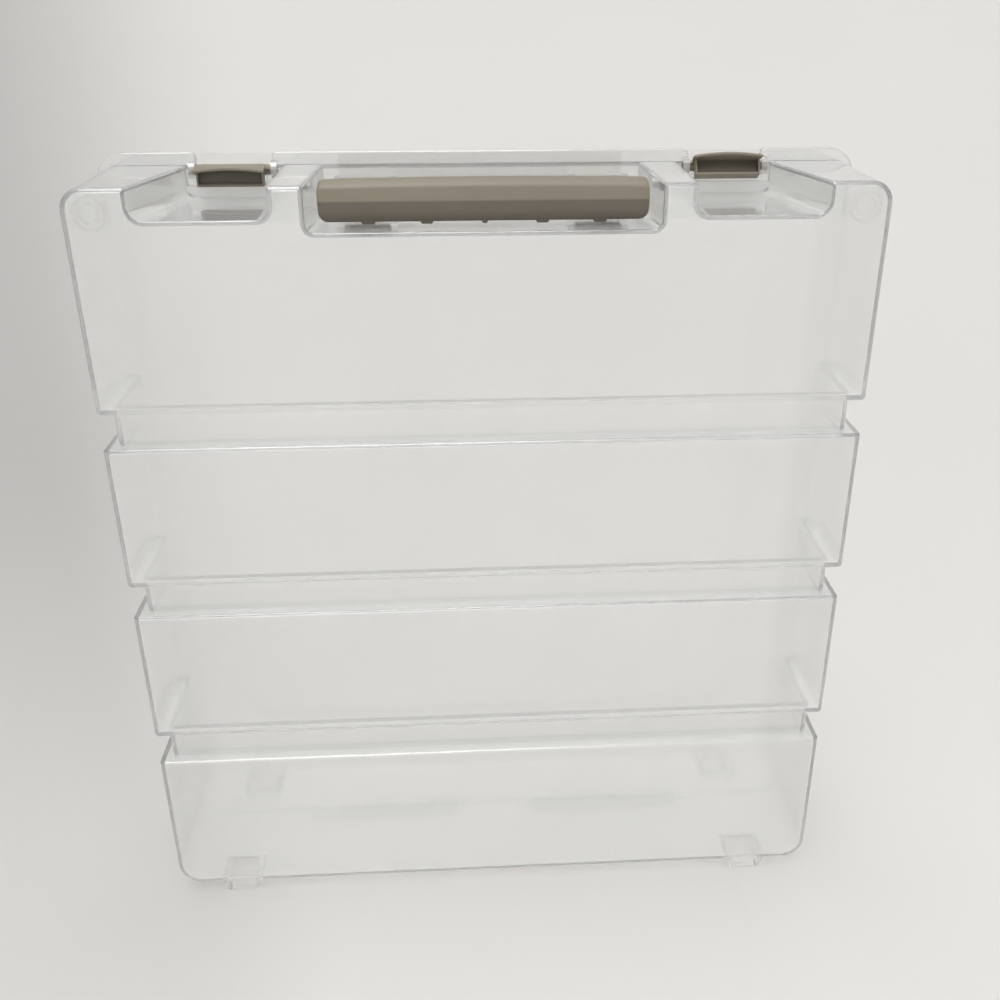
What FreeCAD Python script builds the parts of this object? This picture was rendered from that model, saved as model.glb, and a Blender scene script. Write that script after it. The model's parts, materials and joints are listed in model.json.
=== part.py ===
import FreeCAD, Part
import math
import os

# A clear moulded keeper case with a swing handle and two latches, closed and standing on its hinge side.
# Millimetres. Z points up and the front face looks along -Y.
# The origin is on the ground, under the middle of the case.

os.makedirs("parts", exist_ok=True)

# The two shells
case_width = 330.0
shell_height = 355.8
front_depth = 53.0
back_depth = 37.0
wall = 2.0
top_corner_radius = 9.0
bottom_corner_radius = 11.5
face_round = 2.6
inner_face_round = 0.6
ledge_round = 1.3
mouth_round = 1.0
parting_gap = 0.3

# Grooves round the front and the sides of the front shell
groove_count = 3
first_ledge = 79.9
groove_pitch = 83.4
groove_height = 15.6
groove_inset = 5.5
rim_band = 7.0

# Moulded ring pairs in the two top corners of the front face
ring_side_gap = 11.9
ring_top_gap = 9.7
ring_radii = (6.3, 3.8)
ring_line_radius = 0.5

# Notches for the latches, cut in the top of the front shell; reaches are from the latch's middle
notch_inner_reach = 21.2
notch_outer_reach = 33.0
notch_rear_reach = 20.2
notch_drop = 12.9
notch_round = 5.3

# Recess for the handle, cut in the top of the front shell
recess_half_width = 71.2
recess_rear_half_width = 68.6
recess_drop = 18.2
recess_round = 3.5

# Feet under both shells
foot_height = 6.0
foot_side_gap = 31.4
foot_width = 21.0
foot_taper = 3.0
foot_length = 18.0
foot_face_gap = 1.2
foot_round = 2.2

# Shallow panel in the back face
panel_side_margin = 27.5
panel_margin = 44.0
panel_depth = 1.2
panel_radius = 14.0

# Rim plate that stands up behind the front shell and closes its notches and its recess
plate_rise = 5.4
plate_reach = 24.0
plate_thickness = 2.4
plate_corner_radius = 12.0
plate_round = 2.0
plate_edge_round = 0.8

# Latches and the cheeks that carry them
latch_side_gap = 58.7
latch_half_length = 14.1
latch_lip_half_length = 15.0
cutout_half_length = 16.0
cutout_drop = 5.4
latch_axis_drop = 1.6
latch_axis_setback = 1.8
latch_barrel_radius = 2.4
latch_top = 2.4
latch_bottom = 6.1
latch_frame_front = 6.1
latch_frame_depth = 3.5
latch_side_wall = 1.3
latch_scoop_depth = 2.8
latch_scoop_bottom = 1.35
latch_lip_reach = 3.6
latch_lip_thickness = 1.3
latch_lip_arch = 1.3
latch_rear_arch = 0.05
latch_hook_reach = 2.0
latch_hook_height = 1.3
stub_radius = 2.1
stub_slot = 0.6
cheek_thickness = 2.6
cheek_radius = 3.7
catch_gap = 0.4
catch_thickness = 2.6
right_latch_open_angle = 31.0
left_latch_slide = 0.8

# Handle and the ears that carry it
handle_axis_drop = 8.2
handle_axis_setback = 5.0
grip_half_length = 66.5
grip_setback = 6.0
grip_depth = 10.0
grip_height = 17.2
grip_bottom_gap = 2.4
grip_wall = 2.2
grip_crown = 0.8
grip_top_round = 2.5
grip_bottom_round = 3.8
grip_outline_shares = ((0.20, 0.0), (0.0, 0.48), (0.05, 0.79), (0.40, 0.97), (0.62, 1.0), (0.90, 0.93),
                       (1.0, 0.78), (1.0, 0.30))
rib_count = 5
rib_pitch = 23.4
rib_thickness = 3.2
rib_reach = 0.8
leg_inner_x = 40.5
leg_outer_x = 60.4
leg_flare = 4.6
leg_flare_length = 9.0
leg_thickness = 5.2
leg_barrel_radius = 3.4
ear_radius = 3.4
ear_thickness = 3.0
side_play = 0.3

# Pins, which turn in holes one clearance larger
handle_pin_radius = 1.5
hinge_pin_radius = 1.25
pin_clearance = 0.05

# Hinges at the bottom of the parting plane
hinge_side_gap = 61.0
hinge_middle_gap = 20.0
knuckle_count = 5
knuckle_radius = 2.6
knuckle_play = 0.3

# Working values
overrun = 5.0
match = 0.001

half_width = case_width / 2
latch_center_x = half_width - latch_side_gap
notch_inner_x = latch_center_x - notch_inner_reach
notch_outer_x = latch_center_x + notch_outer_reach
notch_outer_rear_x = latch_center_x + notch_rear_reach
foot_center_x = half_width - foot_side_gap
panel_half_width = half_width - panel_side_margin
hinge_length = half_width - hinge_side_gap - hinge_middle_gap
hinge_center_x = hinge_middle_gap + hinge_length / 2
front_y = -(front_depth + back_depth) / 2
back_y = front_y + front_depth + back_depth
parting_y = front_y + front_depth
front_rim_y = parting_y - parting_gap / 2
back_rim_y = parting_y + parting_gap / 2
shell_low = foot_height
shell_high = shell_low + shell_height
plate_high = shell_high + plate_rise
notch_floor = shell_high - notch_drop
recess_floor = shell_high - recess_drop
latch_axis_y = parting_y - latch_axis_setback
latch_axis_z = shell_high - latch_axis_drop
handle_axis_y = parting_y - handle_axis_setback
handle_axis_z = shell_high - handle_axis_drop
hinge_axis_z = shell_low - knuckle_play - knuckle_radius


# Shapes that several pieces share

def point(x, y, z):
    return FreeCAD.Vector(x, y, z)


def block(x_low, x_high, y_low, y_high, z_low, z_high):
    return Part.makeBox(x_high - x_low, y_high - y_low, z_high - z_low, point(x_low, y_low, z_low))


def rod(x_low, x_high, y, z, radius):
    return Part.makeCylinder(radius, x_high - x_low, point(x_low, y, z), point(1, 0, 0))


def corner_arc(center_x, center_z, y, radius, start_angle, end_angle):
    middle_angle = (start_angle + end_angle) / 2
    spots = []
    for angle in (start_angle, middle_angle, end_angle):
        turn = math.radians(angle)
        spots.append(point(center_x + radius * math.cos(turn), y, center_z + radius * math.sin(turn)))
    return Part.Arc(spots[0], spots[1], spots[2]).toShape(), spots[0], spots[2]


def front_outline(y, x_low, x_high, z_low, z_high, low_radius, high_radius):
    """Rounded rectangle in a plane that faces the front, anticlockwise from its lower right corner."""
    corners = ((x_high, z_low, -1, 1, low_radius, -90), (x_high, z_high, -1, -1, high_radius, 0),
               (x_low, z_high, 1, -1, high_radius, 90), (x_low, z_low, 1, 1, low_radius, 180))
    pieces = []
    ends = []
    for corner_x, corner_z, x_sign, z_sign, radius, start_angle in corners:
        if radius > 0:
            arc, first, last = corner_arc(corner_x + x_sign * radius, corner_z + z_sign * radius, y, radius,
                                          start_angle, start_angle + 90)
            pieces.append(arc)
            ends.append((first, last))
        else:
            spot = point(corner_x, y, corner_z)
            pieces.append(None)
            ends.append((spot, spot))
    edges = []
    for index in range(len(corners)):
        if pieces[index] is not None:
            edges.append(pieces[index])
        following = ends[(index + 1) % len(corners)][0]
        edges.append(Part.makeLine(ends[index][1], following))
    return Part.Wire(edges)


def plate(y_low, y_high, x_low, x_high, z_low, z_high, low_radius, high_radius):
    face = Part.Face(front_outline(y_low, x_low, x_high, z_low, z_high, low_radius, high_radius))
    return face.extrude(point(0, y_high - y_low, 0))


def side_prism(x_low, x_high, spots):
    """Solid with the outline spots, (y, z) pairs, from x_low to x_high."""
    corners = [point(x_low, y, z) for y, z in spots]
    face = Part.Face(Part.makePolygon(corners + [corners[0]]))
    return face.extrude(point(x_high - x_low, 0, 0))


def plan_prism(spots, z_low, z_high):
    """Solid with the outline spots, (x, y) pairs, from z_low to z_high."""
    corners = [point(x, y, z_low) for x, y in spots]
    face = Part.Face(Part.makePolygon(corners + [corners[0]]))
    return face.extrude(point(0, 0, z_high - z_low))


def flat_edges(shape, axis, place, keep):
    """Edges that lie in the plane axis = place and pass the test keep."""
    chosen = []
    for edge in shape.Edges:
        box = edge.BoundBox
        low = (box.XMin, box.YMin, box.ZMin)[axis]
        high = (box.XMax, box.YMax, box.ZMax)[axis]
        if abs(low - place) < match and abs(high - place) < match and keep(edge.CenterOfMass):
            chosen.append(edge)
    return chosen


def tray(half_x, face_y, rim_y, z_low, z_high, low_radius, high_radius, round_radius, end_radius):
    """Full solid of a shell or of one band of it: rounded round its face and along its square ends."""
    y_low, y_high = sorted((face_y, rim_y))
    solid = plate(y_low, y_high, -half_x, half_x, z_low, z_high, low_radius, high_radius)

    def on_round_side(middle):
        below = low_radius == 0 and abs(middle.z - z_low) < match
        above = high_radius == 0 and abs(middle.z - z_high) < match
        return not below and not above

    solid = solid.makeFillet(round_radius, flat_edges(solid, 1, face_y, on_round_side))
    for radius, level in ((low_radius, z_low), (high_radius, z_high)):
        if radius == 0:
            ends = flat_edges(solid, 2, level, lambda middle: abs(middle.y - rim_y) > match)
            solid = solid.makeFillet(end_radius, ends)
    return solid


def fuse_all(solids):
    joined = solids[0].fuse(solids[1:])
    return joined.removeSplitter()


def one_solid(shape):
    return shape.Solids[0] if len(shape.Solids) == 1 else shape


def save(shape, name):
    shape.exportStep("parts/" + name + ".step")
    box = shape.BoundBox
    print(name, "solids", len(shape.Solids), "valid", shape.isValid(), "volume", round(shape.Volume),
          "x", round(box.XMin, 2), round(box.XMax, 2), "y", round(box.YMin, 2), round(box.YMax, 2),
          "z", round(box.ZMin, 2), round(box.ZMax, 2))


# Front shell

def band_levels(margin):
    """Low and high level of each band between the grooves, pulled in by margin, with its corner radii."""
    bands = []
    low = shell_low
    for index in range(groove_count):
        ledge = shell_low + first_ledge + index * groove_pitch
        radius = bottom_corner_radius - margin if index == 0 else 0
        bands.append((low + margin, ledge - margin, radius, 0))
        low = ledge + groove_height
    bands.append((low + margin, shell_high - margin, 0, top_corner_radius - margin))
    return bands


def front_body(margin, round_radius, end_radius, rim_y):
    """The stepped body of the front shell, or its hollow when margin is the wall."""
    solids = []
    for low, high, low_radius, high_radius in band_levels(margin):
        solids.append(tray(half_width - margin, front_y + margin, rim_y, low, high, low_radius, high_radius,
                           round_radius, end_radius))
    core_low = shell_low + first_ledge - margin - wall
    core_high = shell_low + first_ledge + (groove_count - 1) * groove_pitch + groove_height + margin + wall
    solids.append(tray(half_width - groove_inset - margin, front_y + groove_inset + margin, rim_y,
                       core_low, core_high, 0, 0, round_radius, end_radius))
    solids.append(plate(parting_y - rim_band + margin, rim_y, margin - half_width, half_width - margin,
                        shell_low + margin, shell_high - margin,
                        bottom_corner_radius - margin, top_corner_radius - margin))
    return fuse_all(solids)


def top_cut(front_span, rear_span, floor, radius, margin):
    """Space of a notch or recess in the top, lofted from the front face to the parting plane."""
    wires = []
    stretch = overrun / front_depth
    outer_span = [front + (front - rear) * stretch for front, rear in zip(front_span, rear_span)]
    for y, span in ((front_y - overrun, outer_span), (parting_y, rear_span)):
        wires.append(front_outline(y, span[0] - margin, span[1] + margin, floor - margin,
                                   plate_high + overrun, radius + margin, 0))
    return Part.makeLoft(wires, True, True)


def top_cuts(margin):
    """The handle recess and the two latch notches."""
    recess = top_cut((-recess_half_width, recess_half_width),
                     (-recess_rear_half_width, recess_rear_half_width),
                     recess_floor, recess_round, margin)
    right = top_cut((notch_inner_x, notch_outer_x), (notch_inner_x, notch_outer_rear_x),
                    notch_floor, notch_round, margin)
    left = top_cut((-notch_outer_x, -notch_inner_x), (-notch_outer_rear_x, -notch_inner_x),
                   notch_floor, notch_round, margin)
    return [recess, right, left]


def mouth_edges(shape, skin, cuts):
    """Edges at which the cuts open through the skin of the body, apart from those in the rim plane."""
    chosen = []
    for edge in shape.Edges:
        middle = edge.valueAt((edge.FirstParameter + edge.LastParameter) / 2)
        spot = Part.Vertex(middle)
        if abs(middle.y - front_rim_y) > match and spot.distToShape(skin)[0] < match:
            if min(spot.distToShape(cut.Shells[0])[0] for cut in cuts) < match:
                chosen.append(edge)
    return chosen


def foot(side, near_y, far_y, margin, z_low, z_high):
    """One tapered foot under the shell, or its core when margin is the wall."""
    center_x = side * foot_center_x
    half_top = foot_width / 2 - margin
    half_bottom = half_top - foot_taper
    slope = foot_taper / foot_height
    spread = (z_high - z_low - foot_height) * slope if margin == 0 else 0
    spots = [(center_x - half_bottom, z_low), (center_x + half_bottom, z_low),
             (center_x + half_top + spread, z_high), (center_x - half_top - spread, z_high)]
    corners = [point(x, near_y + margin, z) for x, z in spots]
    face = Part.Face(Part.makePolygon(corners + [corners[0]]))
    solid = face.extrude(point(0, far_y - near_y - margin - margin, 0))
    if margin == 0:
        lower = flat_edges(solid, 2, z_low, lambda middle: abs(middle.x - center_x) > half_bottom / 2)
        solid = solid.makeFillet(foot_round, lower)
    return solid


def feet(near_y, far_y):
    """The pair of feet of a shell: their outer solids and their cores."""
    outer = [foot(side, near_y, far_y, 0, shell_low - foot_height, shell_low + wall / 2) for side in (-1, 1)]
    cores = [foot(side, near_y, far_y, wall, shell_low - foot_height + wall, shell_low + wall + overrun)
             for side in (-1, 1)]
    return outer, cores


def knuckles(first, toward):
    """Every second knuckle of both hinges, with webs on the side toward its own shell."""
    slot = hinge_length / knuckle_count
    solids = []
    holes = []
    for side in (-1, 1):
        start = side * hinge_center_x - hinge_length / 2
        for index in range(first, knuckle_count, 2):
            x_low = start + index * slot + knuckle_play / 2
            x_high = start + (index + 1) * slot - knuckle_play / 2
            solids.append(rod(x_low, x_high, parting_y, hinge_axis_z, knuckle_radius))
            edges_y = sorted((parting_y + toward * parting_gap / 2, parting_y + toward * knuckle_radius))
            solids.append(block(x_low, x_high, edges_y[0], edges_y[1], hinge_axis_z, shell_low + wall / 2))
        holes.append(rod(start - overrun, start + hinge_length + overrun, parting_y, hinge_axis_z,
                         hinge_pin_radius + pin_clearance))
    return solids, holes


def corner_rings():
    """The two pairs of ring lines sunk in the front face, one pair near each top corner."""
    cuts = []
    for side in (-1, 1):
        center = point(side * (half_width - ring_side_gap), front_y, shell_high - ring_top_gap)
        for radius in ring_radii:
            cuts.append(Part.makeTorus(radius, ring_line_radius, center, point(0, 1, 0)))
    return cuts


def catch_strips():
    """The upright strip at the rear of each latch notch, just under the latch's hook."""
    strips = []
    top = latch_axis_z - latch_bottom - catch_gap
    for side in (-1, 1):
        ends = sorted((side * (notch_inner_x - wall / 2), side * (notch_outer_rear_x + wall / 2)))
        strips.append(block(ends[0], ends[1], front_rim_y - catch_thickness, front_rim_y,
                            notch_floor - wall / 2, top))
    return strips


def front_shell():
    body = front_body(0, face_round, ledge_round, front_rim_y)
    cuts = top_cuts(0)
    open_body = body.cut(cuts)
    open_body = open_body.makeFillet(mouth_round, mouth_edges(open_body, body.Shells[0], cuts))
    hollow = front_body(wall, inner_face_round, inner_face_round, parting_y + overrun)
    hollow = hollow.cut(top_cuts(wall))
    foot_solids, foot_cores = feet(front_y + foot_face_gap, front_y + foot_face_gap + foot_length)
    knuckle_solids, pin_holes = knuckles(1, -1)
    shell = open_body.fuse(foot_solids).cut([hollow] + foot_cores + corner_rings())
    shell = shell.fuse(knuckle_solids + catch_strips()).removeSplitter()
    return one_solid(shell.cut(pin_holes))


# Back shell

def back_panel(margin):
    """Space of the shallow panel in the back face."""
    half = panel_half_width + margin
    radius = panel_radius + margin
    return plate(back_y - panel_depth - margin, back_y + overrun, -half, half,
                 shell_low + panel_margin - margin, shell_high - panel_margin + margin, radius, radius)


def latch_cutouts():
    """Space of the cut-out for each latch, through the rim plate and the edge of the top wall behind it."""
    return [block(side * latch_center_x - cutout_half_length, side * latch_center_x + cutout_half_length,
                  back_rim_y - overrun, back_rim_y + plate_thickness, shell_high - cutout_drop,
                  plate_high + overrun) for side in (-1, 1)]


def cutout_backs():
    """The wall that closes the case behind each cut-out."""
    rear_y = back_rim_y + plate_thickness
    reach = cutout_half_length + wall
    return [block(side * latch_center_x - reach, side * latch_center_x + reach, rear_y, rear_y + wall,
                  shell_high - cutout_drop - wall, shell_high - wall / 2) for side in (-1, 1)]


def rim_plate():
    """The upright plate behind the notches and the recess, with a cut-out for each latch."""
    solid = plate(back_rim_y, back_rim_y + plate_thickness, -half_width, half_width,
                  shell_high - plate_reach, plate_high, 0, plate_corner_radius)
    solid = solid.cut(latch_cutouts())
    corners = []
    for edge in flat_edges(solid, 2, plate_high, lambda middle: True):
        box = edge.BoundBox
        runs_back = abs(box.YMax - box.YMin - plate_thickness) < match
        at_cutout = abs(abs(abs(box.XMax) - latch_center_x) - cutout_half_length) < match
        if runs_back and at_cutout:
            corners.append(edge)
    solid = solid.makeFillet(plate_round, corners)
    outline = []
    for y in (back_rim_y, back_rim_y + plate_thickness):
        outline.extend(flat_edges(solid, 1, y, lambda middle: middle.z > shell_high - cutout_drop - match))
    return solid.makeFillet(plate_edge_round, outline)


def boss(x_low, x_high, axis_y, axis_z, radius):
    """A round-fronted lug on the rim plate, about an axis along X."""
    return [rod(x_low, x_high, axis_y, axis_z, radius),
            block(x_low, x_high, axis_y, back_rim_y + plate_thickness / 2, axis_z - radius, axis_z + radius)]


def cheeks():
    """Two cheeks at each latch cut-out, drilled for the latch's stubs."""
    solids = []
    for side in (-1, 1):
        for end in (-1, 1):
            near = side * latch_center_x + end * cutout_half_length
            edges_x = sorted((near, near + end * cheek_thickness))
            solids.extend(boss(edges_x[0], edges_x[1], latch_axis_y, latch_axis_z, cheek_radius))
    return solids


def pin_ends(side, margin):
    """Low and high x of a handle pin from the outside of one ear to the outside of the other."""
    inner = leg_inner_x - side_play - ear_thickness - margin
    outer = leg_outer_x + side_play + ear_thickness + margin
    return sorted((side * inner, side * outer))


def ears():
    """Two ears for each handle leg, on the front of the rim plate."""
    solids = []
    inner = (leg_inner_x - side_play - ear_thickness, leg_inner_x - side_play)
    outer = (leg_outer_x + side_play, leg_outer_x + side_play + ear_thickness)
    for side in (-1, 1):
        for near, far in (inner, outer):
            edges_x = sorted((side * near, side * far))
            solids.extend(boss(edges_x[0], edges_x[1], handle_axis_y, handle_axis_z, ear_radius))
    return solids


def back_shell():
    body = tray(half_width, back_y, back_rim_y, shell_low, shell_high,
                bottom_corner_radius, top_corner_radius, face_round, ledge_round)
    hollow = tray(half_width - wall, back_y - wall, back_rim_y - overrun, shell_low + wall, shell_high - wall,
                  bottom_corner_radius - wall, top_corner_radius - wall, inner_face_round, ledge_round)
    hollow = hollow.cut(back_panel(wall))
    foot_solids, foot_cores = feet(back_y - foot_face_gap - foot_length, back_y - foot_face_gap)
    knuckle_solids, hinge_holes = knuckles(0, 1)
    shell = body.fuse(foot_solids).cut([hollow, back_panel(0)]).cut(foot_cores + latch_cutouts())
    shell = shell.fuse([rim_plate()] + cutout_backs() + cheeks() + ears() + knuckle_solids).removeSplitter()
    stub_holes = []
    ear_holes = []
    for side in (-1, 1):
        reach = cutout_half_length + cheek_thickness + overrun
        stub_holes.append(rod(side * latch_center_x - reach, side * latch_center_x + reach,
                              latch_axis_y, latch_axis_z, stub_radius + pin_clearance))
        ends = pin_ends(side, overrun)
        ear_holes.append(rod(ends[0], ends[1], handle_axis_y, handle_axis_z,
                             handle_pin_radius + pin_clearance))
    return one_solid(shell.cut(hinge_holes + stub_holes + ear_holes))


# Latches

def lip_outline(center_x, y, arch):
    """The lip seen from the front, in the plane y: arched up in its middle, with round ends."""
    half = latch_lip_half_length - latch_lip_thickness / 2
    end_top = latch_axis_z + latch_top - arch
    end_low = end_top - latch_lip_thickness
    left = center_x - half
    right = center_x + half
    arcs = [((left, end_top), (center_x, end_top + arch), (right, end_top)),
            ((right, end_top), (center_x + latch_lip_half_length, (end_top + end_low) / 2), (right, end_low)),
            ((right, end_low), (center_x, end_low + arch), (left, end_low)),
            ((left, end_low), (center_x - latch_lip_half_length, (end_top + end_low) / 2), (left, end_top))]
    edges = []
    for start, middle, end in arcs:
        spots = [point(x, y, z) for x, z in (start, middle, end)]
        edges.append(Part.Arc(spots[0], spots[1], spots[2]).toShape())
    return Part.Wire(edges)


def finger_scoop(x_low, x_high, frame_y, top, bottom):
    """Space of the hollow under the lip: deepest near the lip and curved out to the bottom strip."""
    deep_y = frame_y + latch_scoop_depth
    strip_top = bottom + latch_scoop_bottom
    out_y = frame_y - overrun
    profile = ((deep_y, top), (deep_y, (top + strip_top) / 2), (frame_y, strip_top), (out_y, strip_top),
               (out_y, top))
    spots = [point(x_low, y, z) for y, z in profile]
    edges = [Part.Arc(spots[0], spots[1], spots[2]).toShape()]
    for index in range(2, len(spots)):
        edges.append(Part.makeLine(spots[index], spots[(index + 1) % len(spots)]))
    return Part.Face(Part.Wire(edges)).extrude(point(x_high - x_low, 0, 0))


def latch(side, slide, open_angle):
    """A latch closed over the rim, slid outwards in its cut-out, then turned up about its stubs."""
    y = latch_axis_y
    z = latch_axis_z
    middle_x = side * latch_center_x
    center_x = middle_x + side * slide
    low_x = center_x - latch_half_length
    high_x = center_x + latch_half_length
    frame_y = y - latch_frame_front
    rear_y = frame_y + latch_frame_depth
    top = z + latch_top
    bottom = z - latch_bottom
    frame_top = top - latch_lip_thickness + latch_lip_thickness / 4
    barrel = rod(low_x, high_x, y, z, latch_barrel_radius)
    arm = block(low_x, high_x, frame_y + latch_frame_depth / 2, y, top - latch_lip_thickness, top)
    scoop = finger_scoop(low_x + latch_side_wall, high_x - latch_side_wall, frame_y, frame_top, bottom)
    frame = block(low_x, high_x, frame_y, rear_y, bottom, frame_top).cut(scoop)
    hook_top = bottom + latch_hook_height
    hook_front = rear_y - latch_hook_height
    hook = side_prism(low_x, high_x, ((hook_front, bottom), (rear_y + latch_hook_reach, bottom),
                                      (rear_y, hook_top), (hook_front, hook_top)))
    lip = Part.makeLoft([lip_outline(center_x, frame_y - latch_lip_reach, latch_lip_arch),
                         lip_outline(center_x, rear_y, latch_rear_arch)], True, True)
    stub_reach = cutout_half_length + cheek_thickness
    stubs = rod(middle_x - stub_reach, middle_x + stub_reach, y, z, stub_radius)
    stubs.rotate(point(middle_x, y, z), point(1, 0, 0), 90)
    out_reach = stub_reach + overrun
    slots = [block(near_x, far_x, y - overrun, y + overrun, z - stub_slot / 2, z + stub_slot / 2)
             for near_x, far_x in ((middle_x - out_reach, low_x), (high_x, middle_x + out_reach))]
    piece = fuse_all([barrel, arm, frame, hook, lip, stubs.cut(slots)])
    piece.rotate(point(center_x, y, z), point(1, 0, 0), -open_angle)
    return one_solid(piece)


# Handle

def grip_spots():
    """The grip's section as (y, z) pairs, from its lower front edge over the top to the rear."""
    low = recess_floor + grip_bottom_gap
    near = front_y + grip_setback
    return [(near + depth_share * grip_depth, low + height_share * grip_height)
            for depth_share, height_share in grip_outline_shares]


def grip_front_mask():
    """The grip seen from the front: crowned on top, with its lower corners well rounded."""
    y = front_y - overrun
    low = recess_floor + grip_bottom_gap
    high = low + grip_height
    side_high = high - grip_crown - grip_top_round
    right = grip_half_length
    low_right, first, last = corner_arc(right - grip_bottom_round, low + grip_bottom_round, y,
                                        grip_bottom_round, -90, 0)
    high_right, rise, ridge = corner_arc(right - grip_top_round, side_high, y, grip_top_round, 0, 90)
    high_left, ridge_left, fall = corner_arc(grip_top_round - right, side_high, y, grip_top_round, 90, 180)
    low_left, last_left, first_left = corner_arc(grip_bottom_round - right, low + grip_bottom_round, y,
                                                 grip_bottom_round, 180, 270)
    crown = Part.Arc(ridge, point(0, y, high), ridge_left).toShape()
    outline = [low_right, Part.makeLine(last, rise), high_right, crown, high_left,
               Part.makeLine(fall, last_left), low_left, Part.makeLine(first_left, first)]
    return Part.Face(Part.Wire(outline)).extrude(point(0, front_depth, 0))


def grip():
    """The grip bar: a faceted channel, open below, closed by its ends and stiffened by ribs."""
    spots = grip_spots()
    full = side_prism(-grip_half_length, grip_half_length, spots)
    inner_x = grip_half_length - grip_wall
    corners = [point(-inner_x, y, z) for y, z in spots]
    inner_wire = Part.makePolygon(corners + [corners[0]]).makeOffset2D(-grip_wall)
    channel = Part.Face(inner_wire).extrude(point(inner_x + inner_x, 0, 0))
    lower = channel.copy()
    lower.translate(point(0, 0, -grip_wall - grip_wall))
    bar = full.common(grip_front_mask()).cut([channel, lower])
    low = recess_floor + grip_bottom_gap - rib_reach
    rib_front = spots[0][0] + grip_wall / 2
    rib_rear = spots[-1][0] - grip_wall / 2
    ribs = []
    for index in range(rib_count):
        center_x = (index - (rib_count - 1) / 2) * rib_pitch
        section = ((rib_front, low), (rib_front + grip_wall, low), (rib_rear, spots[-1][1]),
                   (rib_rear, spots[-2][1]), (rib_front, spots[-2][1]))
        ribs.append(side_prism(center_x - rib_thickness / 2, center_x + rib_thickness / 2, section))
    return bar.fuse(ribs)


def leg(side):
    """One leg from the grip back to its pivot barrel, flaring towards the end of the grip."""
    rear_y = handle_axis_y
    grip_rear = front_y + grip_setback + grip_depth
    near_y = grip_rear - grip_depth / 2
    flare_start = grip_rear + leg_flare_length
    flare_x = leg_outer_x + leg_flare
    outline = [(leg_inner_x, near_y), (leg_inner_x, rear_y), (leg_outer_x, rear_y),
               (leg_outer_x, flare_start),
               (leg_outer_x + leg_flare / 4, flare_start - leg_flare_length / 2),
               (flare_x, grip_rear), (flare_x, near_y)]
    spots = [(side * x, y) for x, y in outline]
    web = plan_prism(spots, handle_axis_z - leg_thickness / 2, handle_axis_z + leg_thickness / 2)
    ends = sorted((side * leg_inner_x, side * leg_outer_x))
    return [web, rod(ends[0], ends[1], handle_axis_y, handle_axis_z, leg_barrel_radius)]


def handle():
    solids = [grip()] + leg(-1) + leg(1)
    piece = fuse_all(solids)
    holes = []
    for side in (-1, 1):
        ends = sorted((side * (leg_inner_x - overrun), side * (leg_outer_x + overrun)))
        holes.append(rod(ends[0], ends[1], handle_axis_y, handle_axis_z, handle_pin_radius + pin_clearance))
    return one_solid(piece.cut(holes))


# Pins

def handle_pin(side):
    ends = pin_ends(side, 0)
    return rod(ends[0], ends[1], handle_axis_y, handle_axis_z, handle_pin_radius)


def hinge_pin(side):
    middle = side * hinge_center_x
    return rod(middle - hinge_length / 2 + knuckle_play, middle + hinge_length / 2 - knuckle_play,
               parting_y, hinge_axis_z, hinge_pin_radius)


save(back_shell(), "back_shell")
save(front_shell(), "front_shell")
save(handle(), "handle")
save(latch(-1, left_latch_slide, 0), "latch_left")
save(latch(1, 0, right_latch_open_angle), "latch_right")
for side_name, side_sign in (("left", -1), ("right", 1)):
    save(handle_pin(side_sign), "handle_pin_" + side_name)
    save(hinge_pin(side_sign), "hinge_pin_" + side_name)
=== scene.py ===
import json
import math

import bmesh
import bpy
from mathutils import Matrix, Vector

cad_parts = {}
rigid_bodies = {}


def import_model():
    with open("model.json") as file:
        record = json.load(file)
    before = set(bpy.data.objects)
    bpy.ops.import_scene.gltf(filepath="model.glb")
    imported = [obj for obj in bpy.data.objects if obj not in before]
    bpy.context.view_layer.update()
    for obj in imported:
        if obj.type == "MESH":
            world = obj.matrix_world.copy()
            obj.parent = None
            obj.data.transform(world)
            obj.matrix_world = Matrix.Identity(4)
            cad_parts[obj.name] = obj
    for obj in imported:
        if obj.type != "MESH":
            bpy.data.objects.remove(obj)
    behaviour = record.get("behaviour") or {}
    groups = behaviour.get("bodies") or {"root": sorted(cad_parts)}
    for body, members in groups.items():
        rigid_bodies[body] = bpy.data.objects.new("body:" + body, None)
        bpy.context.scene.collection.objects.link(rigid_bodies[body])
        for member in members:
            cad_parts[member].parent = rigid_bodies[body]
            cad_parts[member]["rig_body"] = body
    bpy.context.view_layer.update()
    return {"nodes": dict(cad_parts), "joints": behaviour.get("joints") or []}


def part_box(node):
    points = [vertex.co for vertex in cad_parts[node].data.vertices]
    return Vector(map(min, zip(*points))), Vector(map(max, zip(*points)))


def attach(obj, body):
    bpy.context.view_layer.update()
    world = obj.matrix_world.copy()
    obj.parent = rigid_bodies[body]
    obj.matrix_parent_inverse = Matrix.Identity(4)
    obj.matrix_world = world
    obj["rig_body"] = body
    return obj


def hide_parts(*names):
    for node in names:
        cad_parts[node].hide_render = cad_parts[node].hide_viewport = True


# A clear keeper case with a taupe handle and two taupe latches, closed and standing on a pale sweep.
# Shapes are made in millimetres and turned into metres when a piece is finished.

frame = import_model()

# Camera: where the photograph was taken from, and how wide it sees
camera_spot = Vector((-0.00826, -0.48663, 0.43762))
camera_yaw = math.radians(3.652)
camera_pitch = math.radians(25.738)
camera_roll = math.radians(0.116)
sensor_width = 36.0
lens_share = 1.1
lens_shift = -0.0349
near_clip = 0.01

# Lengths that several pieces share
metre = 1000.0
match = 0.01
cut_match = 0.001
round_steps = 3
turn_steps = 40
corner_steps = 8
grid_half = 0.5

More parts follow.
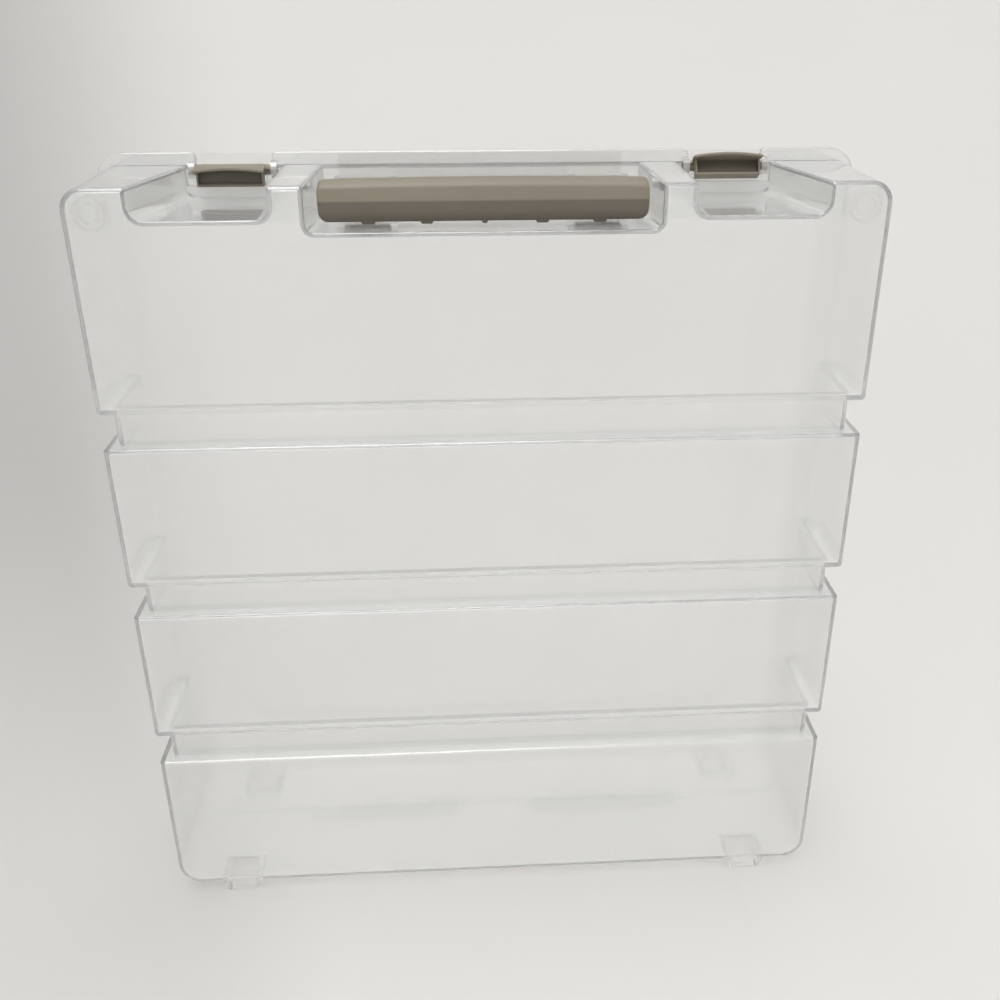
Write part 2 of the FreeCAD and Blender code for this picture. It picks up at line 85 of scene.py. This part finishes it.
# Handle: the grip's section goes from its lower front edge over the top to the rear
grip_depth = 10.0
grip_height = 17.2
grip_wall = 2.0
grip_hollow = 9.0
grip_crown = 0.8
grip_top_round = 2.3
grip_bottom_round = 3.8
grip_crease_round = 0.6
grip_crease_angle = 17
grip_stations = 24
grip_outline_shares = ((0.20, 0.0), (0.0, 0.54), (0.04, 0.77), (0.062, 0.82), (0.105, 0.862),
                       (0.17, 0.893), (0.28, 0.927), (0.40, 0.96), (0.52, 0.985), (0.64, 1.0),
                       (0.77, 0.985), (0.88, 0.94), (0.96, 0.86), (1.0, 0.76), (1.0, 0.30))
rib_pitch = 23.4
rib_widths = (5.6, 4.9, 2.4, 5.1, 5.4)
rib_reach = 0.8
rib_setback = 1.7
rib_foot = 2.4
rib_round = 0.7
leg_inner_x = 40.5
leg_outer_x = 60.4
leg_flare = 4.6
leg_flare_length = 9.0
leg_flare_knee_share = 0.25
leg_thickness = 5.2
leg_overlap = 2.0
leg_round = 0.9
barrel_radius = 3.4
barrel_round = 0.5
pin_clearance = 0.05

# Latches, measured from the axis of their stubs
latch_half_length = 14.1
latch_lip_half_length = 15.0
latch_barrel_radius = 2.4
latch_top = 2.4
latch_bottom = 6.1
latch_frame_front = 6.1
latch_frame_depth = 3.5
latch_frame_top = 1.8
latch_side_wall = 0.8
latch_top_wall = 0.7
latch_scoop_depth = 2.8
latch_scoop_slope = 1.5
latch_lip_reach = 3.6
latch_lip_thickness = 1.3
latch_lip_arch = 1.3
latch_lip_round = 0.5
latch_lip_angle = 60
latch_lip_columns = 16
latch_lip_rows = 5
latch_hook_reach = 2.0
latch_hook_height = 1.3
latch_edge_round = 0.3
latch_edge_angle = 40
stub_radius = 2.1
stub_slot = 0.6
stub_reach = 18.6
right_latch_open_angle = 31.0
left_latch_slide = 0.8

# Attribute that marks the faces inside the finger scoops, where shade is painted into the taupe's colour
shade_name = "shade"

# Pins
pin_chamfer = 0.25


# Meshes

def unique(items):
    """The items in their order, each of them once."""
    return list(dict.fromkeys(items))


def pull(mesh, faces, direction):
    """Extrudes the faces along direction and returns the new end faces."""
    made = bmesh.ops.extrude_face_region(mesh, geom=faces)["geom"]
    moved = [item for item in made if isinstance(item, bmesh.types.BMVert)]
    bmesh.ops.translate(mesh, verts=moved, vec=direction)
    return [item for item in made if isinstance(item, bmesh.types.BMFace)]


def sink(mesh, face, direction):
    """Pushes one face of a closed shape inwards and returns the face that it ends in."""
    ends = pull(mesh, [face], direction)
    bmesh.ops.delete(mesh, geom=[face], context="FACES_ONLY")
    return ends[0]


def bar(mesh, spots, direction):
    """A closed bar, the flat outline pulled along direction. Returns its faces."""
    before = set(mesh.faces)
    pull(mesh, [mesh.faces.new([mesh.verts.new(spot) for spot in spots])], direction)
    made = [face for face in mesh.faces if face not in before]
    bmesh.ops.recalc_face_normals(mesh, faces=made)
    return made


def edges_of(faces):
    return unique(edge for face in faces for edge in face.edges)


def bends(edges, angle):
    """Edges between two faces that meet at more than angle degrees."""
    return [edge for edge in edges if len(edge.link_faces) == 2
            and edge.calc_face_angle(0.0) > math.radians(angle)]


def soften(mesh, edges, radius, steps=round_steps):
    bmesh.ops.bevel(mesh, geom=edges, offset=radius, offset_type="OFFSET", segments=steps, profile=0.5,
                    affect="EDGES", clamp_overlap=True, material=-1)


def lathe(mesh, outline, center, closed):
    """Turns the outline, pairs of x and radius, round the X axis through center."""
    before = set(mesh.faces)
    verts = [mesh.verts.new((center[0] + x, center[1], center[2] + radius)) for x, radius in outline]
    pairs = list(zip(verts, verts[1:]))
    if closed:
        pairs.append((verts[-1], verts[0]))
    edges = [mesh.edges.new(pair) for pair in pairs]
    bmesh.ops.spin(mesh, geom=verts + edges, cent=center, axis=(1, 0, 0), dvec=(0, 0, 0),
                   angle=2 * math.pi, steps=turn_steps, use_merge=True, use_duplicate=False)
    made = [face for face in mesh.faces if face not in before]
    bmesh.ops.remove_doubles(mesh, verts=unique(vert for face in made for vert in face.verts), dist=match)
    made = [face for face in mesh.faces if face not in before]
    bmesh.ops.recalc_face_normals(mesh, faces=made)


def tube(mesh, x_low, x_high, center, radius, bore, edge_round):
    """A barrel along X with a bore through it and broken edges."""
    outline = ((x_low, bore), (x_low, radius - edge_round), (x_low + edge_round, radius),
               (x_high - edge_round, radius), (x_high, radius - edge_round), (x_high, bore))
    lathe(mesh, outline, center, True)


def pin(mesh, x_low, x_high, center, radius, edge_round):
    """A solid pin along X with broken edges."""
    outline = ((x_low, 0), (x_low, radius - edge_round), (x_low + edge_round, radius),
               (x_high - edge_round, radius), (x_high, radius - edge_round), (x_high, 0))
    lathe(mesh, outline, center, False)


def finish_piece(mesh, name, material, node):
    """Turns the mesh into a piece that stands for a CAD node and rides on that node's body."""
    bmesh.ops.scale(mesh, vec=(1 / metre, 1 / metre, 1 / metre), verts=mesh.verts)
    for face in mesh.faces:
        face.smooth = True
    data = bpy.data.meshes.new(name)
    mesh.to_mesh(data)
    mesh.free()
    data.materials.append(material)
    piece = bpy.data.objects.new(name, data)
    bpy.context.scene.collection.objects.link(piece)
    shading = piece.modifiers.new("even_shading", "WEIGHTED_NORMAL")
    shading.keep_sharp = True
    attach(piece, frame["nodes"][node]["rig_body"])
    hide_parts(node)


def corners(node):
    """Lowest and highest corner of a CAD node, in millimetres."""
    low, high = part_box(node)
    return low * metre, high * metre


def joint_spot(name):
    """Where a joint's axis is, in millimetres."""
    joint = next(joint for joint in frame["joints"] if joint["name"] == name)
    return Vector(joint["pos_m"]) * metre


# Handle

def crown_grip(mesh, low, top, half_length):
    """Cuts the grip bar into stations, rounds the ends of its top and crowns it."""
    turns = [math.pi / 2 * step / corner_steps for step in range(corner_steps)]
    ends = [half_length - grip_top_round * (1 - math.sin(turn)) for turn in turns]
    evenly = [half_length * (2 * index / grip_stations - 1) for index in range(1, grip_stations)]
    for station in evenly + ends + [-end for end in ends]:
        bmesh.ops.bisect_plane(mesh, geom=mesh.verts[:] + mesh.edges[:] + mesh.faces[:], dist=cut_match,
                               plane_co=(station, 0, 0), plane_no=(1, 0, 0))
    crease = grip_outline_shares[1][1]
    for vert in mesh.verts:
        rise = (vert.co.z - low) / (top - low)
        past = min(1, max(0, abs(vert.co.x) - half_length + grip_top_round) / grip_top_round)
        drop = grip_top_round * (1 - math.sqrt(1 - past ** 2)) * max(0, (rise - crease) / (1 - crease))
        vert.co.z += grip_crown * rise * (1 - (vert.co.x / half_length) ** 2) - drop


def grip(mesh, near, low, half_length):
    """The grip bar: a crowned channel, open below, with rounded ends."""
    top = low + grip_height - grip_crown
    spots = [(-half_length, near + depth_share * grip_depth, low + height_share * (top - low))
             for depth_share, height_share in grip_outline_shares]
    bar(mesh, spots, (half_length + half_length, 0, 0))
    underside = min(mesh.faces, key=lambda face: face.normal.z)
    lower = [edge for edge in underside.edges
             if abs(abs(edge.verts[0].co.x + edge.verts[1].co.x) - half_length - half_length) < match]
    soften(mesh, lower, grip_bottom_round, corner_steps)
    underside = min(mesh.faces, key=lambda face: face.normal.z * face.calc_area())
    bmesh.ops.inset_region(mesh, faces=[underside], thickness=grip_wall, use_even_offset=True)
    sink(mesh, underside, (0, 0, grip_hollow))
    soften(mesh, bends(mesh.edges, grip_crease_angle), grip_crease_round)
    crown_grip(mesh, low, top, half_length)


def rib(mesh, center_x, width, near, low):
    """One rib across the hollow of the grip, a little proud of its lower front edge."""
    front = near + rib_setback
    rear = near + grip_depth - grip_wall / 2
    rear_low = low + grip_outline_shares[-1][1] * grip_height
    left = center_x - width / 2
    spots = [(left, front, low - rib_reach), (left, front + rib_foot, low - rib_reach),
             (left, rear, rear_low), (left, rear, rear_low + grip_hollow / 2),
             (left, front + grip_wall / 2, low + grip_hollow)]
    soften(mesh, edges_of(bar(mesh, spots, (width, 0, 0))), rib_round)


def leg(mesh, side, grip_rear, axis):
    """One leg from the grip back to its barrel, flaring towards the end of the grip."""
    near_y = grip_rear - leg_overlap
    rear_y = axis.y - leg_overlap
    flare_start = grip_rear + leg_flare_length
    flare_x = leg_outer_x + leg_flare
    knee = (leg_outer_x + leg_flare * leg_flare_knee_share, flare_start - leg_flare_length / 2)
    outline = [(leg_inner_x, near_y), (leg_inner_x, rear_y), (leg_outer_x, rear_y),
               (leg_outer_x, flare_start), knee, (flare_x, grip_rear), (flare_x, near_y)]
    spots = [(side * x, y, axis.z - leg_thickness / 2) for x, y in outline]
    soften(mesh, edges_of(bar(mesh, spots, (0, 0, leg_thickness))), leg_round)
    ends = sorted((side * leg_inner_x, side * leg_outer_x))
    radius = (corners("handle_pin_left")[1].z - corners("handle_pin_left")[0].z) / 2
    tube(mesh, ends[0], ends[1], (0, axis.y, axis.z), barrel_radius, radius + pin_clearance, barrel_round)


def handle(material):
    mesh = bmesh.new()
    low_corner, high_corner = corners("handle")
    low = high_corner.z - grip_height
    grip(mesh, low_corner.y, low, high_corner.x)
    for index, width in enumerate(rib_widths):
        center_x = (index - (len(rib_widths) - 1) / 2) * rib_pitch
        rib(mesh, center_x, width, low_corner.y, low)
    axis = joint_spot("handle_swing")
    for side in (-1, 1):
        leg(mesh, side, low_corner.y + grip_depth, axis)
    finish_piece(mesh, "handle_moulding", material, "handle")


# Latches

def latch_lip(mesh):
    """The finger lip with the arm that carries it: arched along its front, flat over the barrel."""
    length = latch_lip_reach + latch_frame_front
    made = bmesh.ops.create_grid(mesh, x_segments=latch_lip_columns, y_segments=latch_lip_rows,
                                 size=grid_half)
    for vert in made["verts"]:
        across = vert.co.x / grid_half
        forward = grid_half - vert.co.y
        flare = min(1, forward / grid_half)
        half = latch_half_length + (latch_lip_half_length - latch_half_length) * flare
        vert.co = Vector((across * half, -forward * length,
                          latch_top - latch_lip_thickness - latch_lip_arch * (across * forward) ** 2))
    faces = unique(face for vert in made["verts"] for face in vert.link_faces)
    before = set(mesh.faces) - set(faces)
    pull(mesh, faces, (0, 0, latch_lip_thickness))
    lip = [face for face in mesh.faces if face not in before]
    bmesh.ops.recalc_face_normals(mesh, faces=lip)
    soften(mesh, bends(edges_of(lip), latch_lip_angle), latch_lip_round)


def latch_frame(mesh):
    """The upright part under the lip, with its finger scoop and the hook at its lower rear edge."""
    half = latch_half_length
    front = -latch_frame_front
    rear = front + latch_frame_depth
    section = ((front, -latch_bottom), (rear + latch_hook_reach, -latch_bottom),
               (rear, latch_hook_height - latch_bottom), (rear, latch_frame_top), (front, latch_frame_top))
    made = bar(mesh, [(-half, y, z) for y, z in section], (half + half, 0, 0))
    face = min(made, key=lambda face: face.normal.y)
    bmesh.ops.inset_region(mesh, faces=[face], thickness=latch_side_wall, use_even_offset=True)
    high_edge = max(face.edges, key=lambda edge: edge.verts[0].co.z + edge.verts[1].co.z)
    bmesh.ops.translate(mesh, verts=list(high_edge.verts), vec=(0, 0, latch_side_wall - latch_top_wall))
    deep = sink(mesh, face, (0, latch_scoop_depth, 0))
    low_edge = min(deep.edges, key=lambda edge: edge.verts[0].co.z + edge.verts[1].co.z)
    # Painted shade: the scoop's faces, all but its lower slope, are marked for a darker colour
    shade = mesh.faces.layers.float[shade_name]
    for edge in deep.edges:
        if edge is not low_edge:
            for scoop_face in edge.link_faces:
                scoop_face[shade] = 1.0
    bmesh.ops.translate(mesh, verts=list(low_edge.verts), vec=(0, -latch_scoop_slope, 0))
    soften(mesh, [low_edge], latch_scoop_slope, corner_steps)
    soften(mesh, bends(mesh.edges, latch_edge_angle), latch_edge_round)


def prong(mesh, side, half_side, slide):
    """One half of the split stub at one end of the barrel."""
    half_stub = bmesh.new()
    ends = sorted((slide + side * (latch_half_length - latch_edge_round), side * stub_reach))
    pin(half_stub, ends[0], ends[1], (0, 0, 0), stub_radius, latch_edge_round)
    cut = bmesh.ops.bisect_plane(half_stub, geom=half_stub.verts[:] + half_stub.edges[:] + half_stub.faces[:],
                                 dist=cut_match, plane_co=(0, 0, half_side * stub_slot / 2),
                                 plane_no=(0, 0, -half_side), clear_outer=True)
    rim = [item for item in cut["geom_cut"] if isinstance(item, bmesh.types.BMEdge)]
    bmesh.ops.contextual_create(half_stub, geom=rim)
    bmesh.ops.recalc_face_normals(half_stub, faces=half_stub.faces)
    data = bpy.data.meshes.new("half_stub")
    half_stub.to_mesh(data)
    half_stub.free()
    mesh.from_mesh(data)
    bpy.data.meshes.remove(data)


def latch_barrel(mesh, slide):
    """The barrel, with a split stub at each end."""
    pin(mesh, slide - latch_half_length, slide + latch_half_length, (0, 0, 0), latch_barrel_radius,
        latch_edge_round)
    for side in (-1, 1):
        for half_side in (-1, 1):
            prong(mesh, side, half_side, slide)


def latch(name, node, slide, open_angle, material):
    """A latch that is slid along its stubs and turned up about them."""
    mesh = bmesh.new()
    mesh.faces.layers.float.new(shade_name)
    latch_frame(mesh)
    latch_lip(mesh)
    bmesh.ops.translate(mesh, verts=mesh.verts, vec=(slide, 0, 0))
    latch_barrel(mesh, slide)
    bmesh.ops.rotate(mesh, cent=(0, 0, 0), matrix=Matrix.Rotation(-math.radians(open_angle), 3, "X"),
                     verts=mesh.verts)
    bmesh.ops.translate(mesh, verts=mesh.verts, vec=joint_spot(node + "_swing"))
    finish_piece(mesh, name, material, node)


# Pins

def pins(material):
    for node in ("handle_pin_left", "handle_pin_right", "hinge_pin_left", "hinge_pin_right"):
        low, high = corners(node)
        center = (low + high) / 2
        mesh = bmesh.new()
        half = (high.x - low.x) / 2
        pin(mesh, -half, half, center, (high.z - low.z) / 2, pin_chamfer)
        finish_piece(mesh, node + "_turned", material, node)


# Materials

class Wire:
    """A socket's value on its way through a material; its operators add the nodes that work on it."""

    def __init__(self, look, socket):
        self.look = look
        self.socket = socket

    def maths(self, operation, first, second):
        return self.look.node("ShaderNodeMath", {"operation": operation}, {0: first, 1: second})

    def size(self):
        """The value without its sign."""
        return self.look.node("ShaderNodeMath", {"operation": "ABSOLUTE"}, {0: self})

    def __add__(self, other):
        return self.maths("ADD", self, other)

    __radd__ = __add__

    def __sub__(self, other):
        return self.maths("SUBTRACT", self, other)

    def __rsub__(self, other):
        return self.maths("SUBTRACT", other, self)

    def __mul__(self, other):
        return self.maths("MULTIPLY", self, other)

    __rmul__ = __mul__

    def __truediv__(self, other):
        return self.maths("DIVIDE", self, other)

    def __rtruediv__(self, other):
        return self.maths("DIVIDE", other, self)


class Look:
    """A node tree being built, for a material or the world."""

    def __init__(self, owner):
        owner.use_nodes = True
        self.owner = owner
        self.tree = owner.node_tree
        self.tree.nodes.clear()

    def node(self, kind, settings=None, sockets=None, output=0):
        """Adds a node, its settings first and then its sockets' values or links."""
        made = self.tree.nodes.new(kind)
        for name, setting in (settings or {}).items():
            if name == "stops":
                self.set_stops(made.color_ramp, setting)
            else:
                setattr(made, name, setting)
        usable = [socket for socket in made.inputs if socket.enabled]
        for name, value in (sockets or {}).items():
            socket = usable[name] if isinstance(name, int) else next(s for s in usable if s.name == name)
            if isinstance(value, Wire):
                self.tree.links.new(value.socket, socket)
            else:
                socket.default_value = value
        outputs = [socket for socket in made.outputs if socket.enabled]
        if not outputs:
            return None
        chosen = outputs[output] if isinstance(output, int) else next(s for s in outputs if s.name == output)
        return Wire(self, chosen)

    def set_stops(self, ramp, stops):
        while len(ramp.elements) < len(stops):
            ramp.elements.new(1.0)
        for element, (place, level) in zip(ramp.elements, stops):
            element.position = place
            element.color = (level, level, level, 1.0)

    def coordinates(self, stretch=(1.0, 1.0, 1.0)):
        place = self.node("ShaderNodeTexCoord", output="Object")
        return self.node("ShaderNodeMapping", {}, {"Vector": place, "Scale": stretch})

    def noise(self, place, scale, detail):
        return self.node("ShaderNodeTexNoise", {}, {"Vector": place, "Scale": scale, "Detail": detail})

    def ramp(self, value, stops):
        return self.node("ShaderNodeValToRGB", {"stops": stops}, {0: value})

    def smooth(self, value, start, end):
        """0 at start, 1 at end and a soft change in between."""
        return self.node("ShaderNodeMapRange", {"interpolation_type": "SMOOTHSTEP"},
                         {"Value": value, "From Min": start, "From Max": end})

    def mix(self, factor, first, second):
        return self.node("ShaderNodeMix", {"data_type": "RGBA"}, {0: factor, 1: first, 2: second})

    def part(self, vector, axis):
        """One part of a vector, X, Y or Z."""
        return self.node("ShaderNodeSeparateXYZ", {}, {0: vector}, axis)

    def shade(self, colour, depth):
        """The colour made darker or lighter by the factor depth."""
        return self.node("ShaderNodeVectorMath", {"operation": "SCALE"}, {"Vector": colour, "Scale": depth})

    def bump(self, height, distance, strength=1.0):
        return self.node("ShaderNodeBump", {}, {"Height": height, "Distance": distance,
                                               "Strength": strength})

    def plastic(self, **sockets):
        return self.node("ShaderNodeBsdfPrincipled", {}, {name.replace("_", " "): value
                                                         for name, value in sockets.items()})

    def out(self, surface, kind="ShaderNodeOutputMaterial", **more):
        self.node(kind, {}, {"Surface": surface, **more})
        return self.owner


# Colours, as linear light, and how each finish varies
cloud_detail = 3.0
fine_detail = 2.0
rub_detail = 4.0

clear_tint = (1.0, 1.0, 0.995, 1.0)
clear_haze_tint = (0.975, 0.98, 0.972, 1.0)
clear_body = 0.84
clear_index = 1.49
clear_roughness = 0.11
clear_smear_roughness = 0.04
clear_polish = 0.03
clear_coat_index = 1.65
clear_cloud_scale = 18.0
clear_smear_scale = 240.0

# What each clear wall lets into a shadow, and how it darkens light that runs along inside it
clear_shadow = (0.92, 0.92, 0.915, 1.0)
clear_murk = (0.30, 0.30, 0.31, 1.0)
clear_murk_density = 7.5

taupe_light = (0.342, 0.305, 0.237, 1.0)
taupe_dark = (0.270, 0.236, 0.178, 1.0)
taupe_dust = (0.36, 0.335, 0.29, 1.0)
taupe_cloud_scale = 26.0
taupe_grain_scale = 1500.0
taupe_grain_depth = 0.00002
taupe_grain_strength = 0.6
taupe_rub_scale = 234.0
taupe_rub_stretch = (0.3, 1.0, 1.0)
taupe_rub_start = 0.60
taupe_rub_end = 0.82
taupe_rub_share = 0.18
taupe_roughness = 0.40
taupe_grain_roughness = 0.08
taupe_rub_roughness = 0.10

# Painted shade: the taupe is darker below the grip's crease, at its lower edge and in the scoops; heights in
# metres
taupe_low_shade_share = 0.62
taupe_low_start = 0.3541
taupe_low_end = 0.3550
taupe_foot_shade_share = 0.72
taupe_foot_start = 0.3462
taupe_foot_end = 0.3512
taupe_scoop_shade_share = 0.55

steel_light = (0.62, 0.62, 0.61, 1.0)
steel_dark = (0.40, 0.40, 0.39, 1.0)
steel_line_scale = 900.0
steel_line_stretch = (1.0, 0.05, 0.05)
steel_line_depth = 0.000005
steel_roughness = 0.26
steel_line_roughness = 0.16

paper_light = (0.79, 0.772, 0.752, 1.0)
paper_dark = (0.762, 0.743, 0.722, 1.0)
paper_cloud_scale = 2.2
paper_roughness = 0.85
paper_cloud_roughness = 0.1

# Painted shade on the paper, which widens to its far left, and painted light that makes it a little lighter
# in front
paper_shade_tip = 0.487
paper_shade_start = -0.17
paper_shade_end = -0.43
paper_shade_depth = 0.33
paper_near = -0.6
paper_far = 0.55
paper_near_painted_light = 0.10


def clear_plastic():
    """Clear moulded plastic: a little cloudy, glossy, and darker where light runs along its walls."""
    look = Look(bpy.data.materials.new("clear_plastic"))
    place = look.coordinates()
    cloud = look.noise(place, clear_cloud_scale, cloud_detail)
    smear = look.noise(place, clear_smear_scale, fine_detail)
    surface = look.plastic(
        Base_Color=look.mix(cloud, clear_tint, clear_haze_tint),
        Roughness=clear_roughness + clear_smear_roughness * smear,
        Transmission_Weight=clear_body,
        IOR=clear_index,
        Coat_Weight=1.0,
        Coat_Roughness=clear_polish,
        Coat_IOR=clear_coat_index)
    passed = look.node("ShaderNodeBsdfTransparent", {}, {"Color": clear_shadow})
    shadow_ray = look.node("ShaderNodeLightPath", output="Is Shadow Ray")
    murk = look.node("ShaderNodeVolumeAbsorption", {}, {"Color": clear_murk, "Density": clear_murk_density})
    body = look.node("ShaderNodeMixShader", {}, {0: shadow_ray, 1: surface, 2: passed})
    return look.out(body, Volume=murk)


def taupe_plastic():
    """Satin taupe plastic, with fine grain, a few rubbed streaks, and painted shade below the grip's crease,
    at its lower edge and in the scoops.
    """
    look = Look(bpy.data.materials.new("taupe_plastic"))
    place = look.coordinates()
    cloud = look.noise(place, taupe_cloud_scale, cloud_detail)
    grain = look.noise(place, taupe_grain_scale, fine_detail)
    rub = look.ramp(look.noise(look.coordinates(taupe_rub_stretch), taupe_rub_scale, rub_detail),
                    ((taupe_rub_start, 0.0), (taupe_rub_end, 1.0)))
    # Painted shade: darker below the grip's crease and towards its lower edge, by height
    height = look.part(place, "Z")
    low = taupe_low_shade_share + (1.0 - taupe_low_shade_share) * look.smooth(height, taupe_low_start, taupe_low_end)
    foot_shade = taupe_foot_shade_share + (1.0 - taupe_foot_shade_share) * look.smooth(height, taupe_foot_start, taupe_foot_end)
    # Painted shade in the finger scoops, on the faces marked by the attribute
    scoop_shade = look.node("ShaderNodeAttribute", {"attribute_name": shade_name}, output="Fac")
    depth = low * foot_shade * (1.0 - taupe_scoop_shade_share * scoop_shade)
    colour = look.shade(look.mix(cloud, taupe_dark, taupe_light), depth)
    return look.out(look.plastic(
        Base_Color=look.mix(rub * taupe_rub_share, colour, taupe_dust),
        Roughness=taupe_roughness + taupe_grain_roughness * grain + taupe_rub_roughness * rub,
        Normal=look.bump(grain, taupe_grain_depth, taupe_grain_strength)))


def pin_steel():
    """Bright drawn wire, with fine lines along it."""
    look = Look(bpy.data.materials.new("pin_steel"))
    lines = look.noise(look.coordinates(steel_line_stretch), steel_line_scale, fine_detail)
    return look.out(look.plastic(
        Base_Color=look.mix(lines, steel_dark, steel_light),
        Metallic=1.0,
        Roughness=steel_roughness + steel_line_roughness * lines,
        Normal=look.bump(lines, steel_line_depth)))


def sweep_paper():
    """Pale matt paper, a little cloudy, with painted shade to its far left and painted light in front."""
    look = Look(bpy.data.materials.new("sweep_paper"))
    place = look.coordinates()
    cloud = look.noise(place, paper_cloud_scale, cloud_detail)
    # Painted shade widening to the far left, and painted light towards the front
    along = look.part(place, "Y")
    far = look.smooth(along, paper_near, paper_far)
    slant = look.part(place, "X") / (along + paper_shade_tip)
    shade = paper_shade_depth * look.smooth(slant, paper_shade_start, paper_shade_end) * far
    painted_gain = (1.0 - shade) * (1.0 + paper_near_painted_light * (1.0 - far))
    return look.out(look.plastic(
        Base_Color=look.shade(look.mix(cloud, paper_dark, paper_light), painted_gain),
        Roughness=paper_roughness + paper_cloud_roughness * cloud))


# Stage

# The lamp is an oval in the world above, given by the directions that it fills
ceiling_x = -0.10
ceiling_y = -0.10
ceiling_half_width = 0.30
ceiling_half_length = 0.55
ceiling_core_share = 0.25
ceiling_colour = (4.85, 4.85, 4.82, 1.0)
room_colour = (0.72, 0.72, 0.715, 1.0)
side_colour = (0.10, 0.10, 0.105, 1.0)
side_start = 0.45
side_end = 0.85
sweep_half_width = 7.0
sweep_front = -4.0
sweep_turn_start = 0.6
sweep_turn_radius = 6.0

# Light passes many clear walls before it is lost
plastic_bounces = 32
paper_bounces = 12


def sweep(material):
    """A pale paper sweep: a floor that curves up behind the case, too widely to show where it starts."""
    mesh = bmesh.new()
    corner_verts = [mesh.verts.new((x, sweep_front, 0)) for x in (-sweep_half_width, sweep_half_width)]
    front = mesh.edges.new(corner_verts)
    made = bmesh.ops.extrude_edge_only(mesh, edges=[front])["geom"]
    bmesh.ops.translate(mesh, vec=(0, sweep_turn_start - sweep_front, 0),
                        verts=[item for item in made if isinstance(item, bmesh.types.BMVert)])
    edge = next(item for item in made if isinstance(item, bmesh.types.BMEdge))
    bmesh.ops.spin(mesh, geom=[edge], cent=(0, sweep_turn_start, sweep_turn_radius),
                   axis=(1, 0, 0), dvec=(0, 0, 0), angle=math.pi / 2, steps=turn_steps)
    bmesh.ops.recalc_face_normals(mesh, faces=mesh.faces)
    for face in mesh.faces:
        face.smooth = True
    data = bpy.data.meshes.new("sweep")
    mesh.to_mesh(data)
    mesh.free()
    data.materials.append(material)
    paper = bpy.data.objects.new("sweep", data)
    bpy.context.scene.collection.objects.link(paper)


def camera():
    """The camera where the photograph was taken, made from its three turns."""
    ahead = Vector((math.sin(camera_yaw) * math.cos(camera_pitch),
                    math.cos(camera_yaw) * math.cos(camera_pitch), -math.sin(camera_pitch)))
    level = Vector((math.cos(camera_yaw), -math.sin(camera_yaw), 0.0))
    above = level.cross(ahead)
    right = math.cos(camera_roll) * level + math.sin(camera_roll) * above
    up = math.cos(camera_roll) * above - math.sin(camera_roll) * level
    data = bpy.data.cameras.new("camera")
    data.sensor_width = sensor_width
    data.lens = sensor_width * lens_share
    data.shift_x = lens_shift
    data.clip_start = near_clip
    seen = bpy.data.objects.new("camera", data)
    seen.matrix_world = Matrix((right, up, -ahead)).transposed().to_4x4()
    seen.location = camera_spot
    bpy.context.scene.collection.objects.link(seen)
    bpy.context.scene.camera = seen


def room():
    """The world: a bright ceiling lamp over the case, in a room that is darker to its left and right."""
    world = bpy.data.worlds.new("room")
    bpy.context.scene.world = world
    look = Look(world)
    direction = look.node("ShaderNodeTexCoord", output="Generated")
    across = look.part(direction, "X")
    off_x = (across - ceiling_x) / ceiling_half_width
    off_y = (look.part(direction, "Y") - ceiling_y) / ceiling_half_length
    ceiling = look.smooth(off_x * off_x + off_y * off_y, 1.0, ceiling_core_share)
    walls = look.mix(look.smooth(across.size(), side_start, side_end), room_colour, side_colour)
    light = look.node("ShaderNodeBackground", {}, {"Color": look.mix(ceiling, walls, ceiling_colour)})
    look.out(light, "ShaderNodeOutputWorld")


clear = clear_plastic()
taupe = taupe_plastic()
steel = pin_steel()
for shell in ("back_shell", "front_shell"):
    for slot in frame["nodes"][shell].material_slots:
        slot.material = clear
handle(taupe)
latch("latch_left_moulding", "latch_left", -left_latch_slide, 0.0, taupe)
latch("latch_right_moulding", "latch_right", 0.0, right_latch_open_angle, taupe)
pins(steel)
sweep(sweep_paper())
room()
camera()
scene = bpy.context.scene
scene.view_settings.view_transform = "Standard"
scene.cycles.max_bounces = plastic_bounces
scene.cycles.diffuse_bounces = paper_bounces
scene.cycles.glossy_bounces = plastic_bounces
scene.cycles.transmission_bounces = plastic_bounces
scene.cycles.transparent_max_bounces = plastic_bounces
